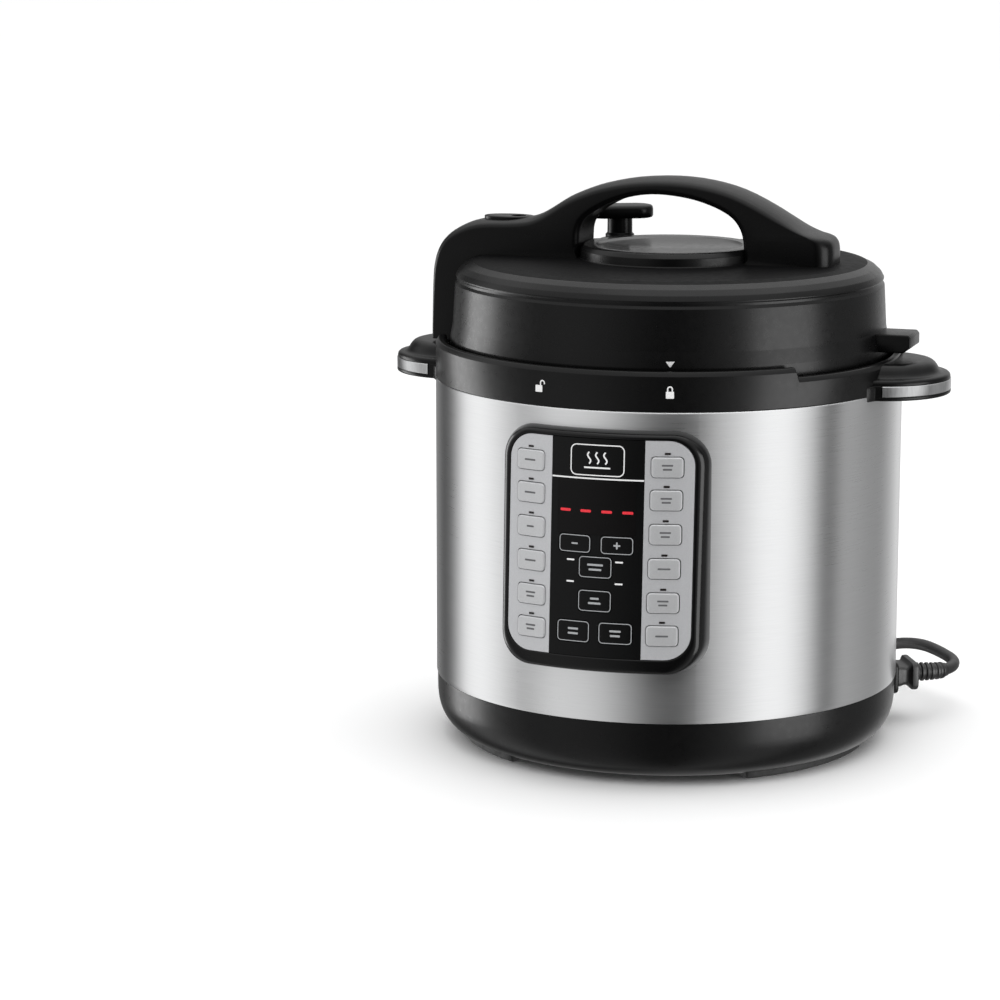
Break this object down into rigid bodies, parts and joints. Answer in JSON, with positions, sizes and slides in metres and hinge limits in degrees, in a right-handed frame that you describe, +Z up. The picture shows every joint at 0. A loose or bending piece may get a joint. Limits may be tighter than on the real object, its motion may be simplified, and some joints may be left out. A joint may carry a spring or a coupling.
{
  "type": "electric pressure cooker",
  "caption": "Round steel electric pressure cooker with lock-on lid, arched bar handle, lift-out pot, curved control panel, side handles and plug-in mains lead.",
  "frame": {"origin": "on the body axis at table level, under the middle of the base", "axes": "+Z up along the body axis, control panel faces -Y, side handles on +X and -X, rear is +Y"},
  "size_m": [0.33, 0.3936, 0.327],
  "materials": {
    "black_plastic": "satin moulded",
    "rubber": "matt",
    "screw_steel": "satin",
    "brushed_steel": "brushed around the body",
    "pot_steel": "satin spun",
    "cast_aluminium": "cast and machined",
    "circuit_board": "solder resist",
    "wire_red": "smooth",
    "gloss_black": "polished",
    "silver_paint": "fine metallic silver",
    "display_red": "smoked window",
    "lamp_red": "diffused",
    "clear_plastic": "clear moulded plastic",
    "silicone": "translucent white",
    "silicone_red": "matt",
    "cord_grey": "satin flexible"
  },
  "bodies": {
    "base": {"base_pan": "black_plastic", "bottom_plate": "black_plastic", "rubber_feet": "rubber", "base_screws": "screw_steel", "outer_shell": "brushed_steel", "collar_ring": "black_plastic", "side_handle_right": "black_plastic", "side_handle_left": "black_plastic", "handle_trims": "brushed_steel", "outer_pot": "pot_steel", "heating_plate": "cast_aluminium", "sensor_spring": "screw_steel", "power_board": "circuit_board", "pressure_switch": "screw_steel", "mains_inlet": "black_plastic", "wiring": "wire_red", "panel_bezel": "gloss_black", "panel_fascia": "gloss_black", "panel_strips": "silver_paint", "display_window": "display_red", "indicator_lamps": "lamp_red", "control_board": "circuit_board", "power_connector": "cord_grey", "cord_lead": "cord_grey", "cord_coil": "cord_grey", "mains_plug": "cord_grey"},
    "temperature_sensor_body": {"temperature_sensor": "cast_aluminium"},
    "collector_body": {"condensation_collector": "clear_plastic"},
    "pot_body": {"inner_pot": "pot_steel"},
    "seal_body": {"sealing_ring": "silicone"},
    "lid_body": {"lid_plate": "pot_steel", "ring_rack": "screw_steel", "anti_block_shield": "screw_steel", "valve_pipe": "screw_steel", "lid_cover": "black_plastic", "lid_screws": "screw_steel", "lid_handle": "black_plastic", "interlock_spring": "screw_steel"},
    "valve_body": {"steam_valve_knob": "black_plastic"},
    "float_body": {"float_valve": "screw_steel", "float_seal": "silicone_red"},
    "interlock_body": {"interlock_pin": "screw_steel"},
    "button_key_profile_l1": {"key_profile_l1": "silver_paint"},
    "button_key_profile_r1": {"key_profile_r1": "silver_paint"},
    "button_key_profile_l2": {"key_profile_l2": "silver_paint"},
    "button_key_profile_r2": {"key_profile_r2": "silver_paint"},
    "button_key_profile_l3": {"key_profile_l3": "silver_paint"},
    "button_key_profile_r3": {"key_profile_r3": "silver_paint"},
    "button_key_profile_l4": {"key_profile_l4": "silver_paint"},
    "button_key_profile_r4": {"key_profile_r4": "silver_paint"},
    "button_key_profile_l5": {"key_profile_l5": "silver_paint"},
    "button_key_profile_r5": {"key_profile_r5": "silver_paint"},
    "button_key_profile_l6": {"key_profile_l6": "silver_paint"},
    "button_key_profile_r6": {"key_profile_r6": "silver_paint"},
    "button_key_minus": {"key_minus": "gloss_black"},
    "button_key_plus": {"key_plus": "gloss_black"},
    "button_key_pressure": {"key_pressure": "gloss_black"},
    "button_key_temperature": {"key_temperature": "gloss_black"},
    "button_key_delay": {"key_delay": "gloss_black"},
    "button_key_start": {"key_start": "gloss_black"}
  },
  "joints": [
    {"name": "pot_lift", "type": "slide", "parent": "base", "child": "pot_body", "axis": [0, 0, 1], "range_m": [0, 0.19]},
    {"name": "lid_lift", "type": "slide", "parent": "pot_body", "child": "seal_body", "axis": [0, 0, 1], "range_m": [0, 0.15]},
    {"name": "lid_turn", "type": "hinge", "parent": "seal_body", "child": "lid_body", "pos_m": [0, 0, 0.2435], "axis": [0, 0, 1], "range_deg": [-32, 0]},
    {"name": "steam_valve_turn", "type": "hinge", "parent": "lid_body", "child": "valve_body", "pos_m": [-0.049, 0.065, 0.2885], "axis": [0, 0, 1], "range_deg": [0, 45]},
    {"name": "float_rise", "type": "slide", "parent": "lid_body", "child": "float_body", "axis": [0, 0, 1], "range_m": [0, 0.0034]},
    {"name": "interlock_slide", "type": "slide", "parent": "lid_body", "child": "interlock_body", "axis": [-1, 0, 0], "range_m": [0, 0.003], "stiffness_N_per_m": 150},
    {"name": "sensor_press", "type": "slide", "parent": "base", "child": "temperature_sensor_body", "axis": [0, 0, 1], "range_m": [-0.002, 0], "stiffness_N_per_m": 900, "springref_m": 0.0005, "deforming": ["sensor_spring"]},
    {"name": "collector_pull", "type": "slide", "parent": "base", "child": "collector_body", "axis": [0, 1, 0], "range_m": [0, 0.03]},
    {"name": "press_key_profile_l1", "type": "slide", "parent": "base", "child": "button_key_profile_l1", "axis": [0.2762, 0.9611, 0], "range_m": [0, 0.0005], "stiffness_N_per_m": 800, "springref_m": -0.0002},
    {"name": "press_key_profile_r1", "type": "slide", "parent": "base", "child": "button_key_profile_r1", "axis": [-0.2671, 0.9637, 0], "range_m": [0, 0.0005], "stiffness_N_per_m": 800, "springref_m": -0.0002},
    {"name": "press_key_profile_l2", "type": "slide", "parent": "base", "child": "button_key_profile_l2", "axis": [0.2716, 0.9624, 0], "range_m": [0, 0.0005], "stiffness_N_per_m": 800, "springref_m": -0.0002},
    {"name": "press_key_profile_r2", "type": "slide", "parent": "base", "child": "button_key_profile_r2", "axis": [-0.264, 0.9645, 0], "range_m": [0, 0.0005], "stiffness_N_per_m": 800, "springref_m": -0.0002},
    {"name": "press_key_profile_l3", "type": "slide", "parent": "base", "child": "button_key_profile_l3", "axis": [0.2664, 0.9639, 0], "range_m": [0, 0.0005], "stiffness_N_per_m": 800, "springref_m": -0.0002},
    {"name": "press_key_profile_r3", "type": "slide", "parent": "base", "child": "button_key_profile_r3", "axis": [-0.2615, 0.9652, 0], "range_m": [0, 0.0005], "stiffness_N_per_m": 800, "springref_m": -0.0002},
    {"name": "press_key_profile_l4", "type": "slide", "parent": "base", "child": "button_key_profile_l4", "axis": [0.2618, 0.9651, 0], "range_m": [0, 0.0005], "stiffness_N_per_m": 800, "springref_m": -0.0002},
    {"name": "press_key_profile_r4", "type": "slide", "parent": "base", "child": "button_key_profile_r4", "axis": [-0.2584, 0.966, 0], "range_m": [0, 0.0005], "stiffness_N_per_m": 800, "springref_m": -0.0002},
    {"name": "press_key_profile_l5", "type": "slide", "parent": "base", "child": "button_key_profile_l5", "axis": [0.2567, 0.9665, 0], "range_m": [0, 0.0005], "stiffness_N_per_m": 800, "springref_m": -0.0002},
    {"name": "press_key_profile_r5", "type": "slide", "parent": "base", "child": "button_key_profile_r5", "axis": [-0.2553, 0.9669, 0], "range_m": [0, 0.0005], "stiffness_N_per_m": 800, "springref_m": -0.0002},
    {"name": "press_key_profile_l6", "type": "slide", "parent": "base", "child": "button_key_profile_l6", "axis": [0.2523, 0.9676, 0], "range_m": [0, 0.0005], "stiffness_N_per_m": 800, "springref_m": -0.0002},
    {"name": "press_key_profile_r6", "type": "slide", "parent": "base", "child": "button_key_profile_r6", "axis": [-0.2523, 0.9676, 0], "range_m": [0, 0.0005], "stiffness_N_per_m": 800, "springref_m": -0.0002},
    {"name": "press_key_minus", "type": "slide", "parent": "base", "child": "button_key_minus", "axis": [0.0826, 0.9966, 0], "range_m": [0, 0.0005], "stiffness_N_per_m": 800, "springref_m": -0.0002},
    {"name": "press_key_plus", "type": "slide", "parent": "base", "child": "button_key_plus", "axis": [-0.0826, 0.9966, 0], "range_m": [0, 0.0005], "stiffness_N_per_m": 800, "springref_m": -0.0002},
    {"name": "press_key_pressure", "type": "slide", "parent": "base", "child": "button_key_pressure", "axis": [0, 1, 0], "range_m": [0, 0.0005], "stiffness_N_per_m": 800, "springref_m": -0.0002},
    {"name": "press_key_temperature", "type": "slide", "parent": "base", "child": "button_key_temperature", "axis": [0, 1, 0], "range_m": [0, 0.0005], "stiffness_N_per_m": 800, "springref_m": -0.0002},
    {"name": "press_key_delay", "type": "slide", "parent": "base", "child": "button_key_delay", "axis": [0.0812, 0.9967, 0], "range_m": [0, 0.0005], "stiffness_N_per_m": 800, "springref_m": -0.0002},
    {"name": "press_key_start", "type": "slide", "parent": "base", "child": "button_key_start", "axis": [-0.0812, 0.9967, 0], "range_m": [0, 0.0005], "stiffness_N_per_m": 800, "springref_m": -0.0002}
  ]
}
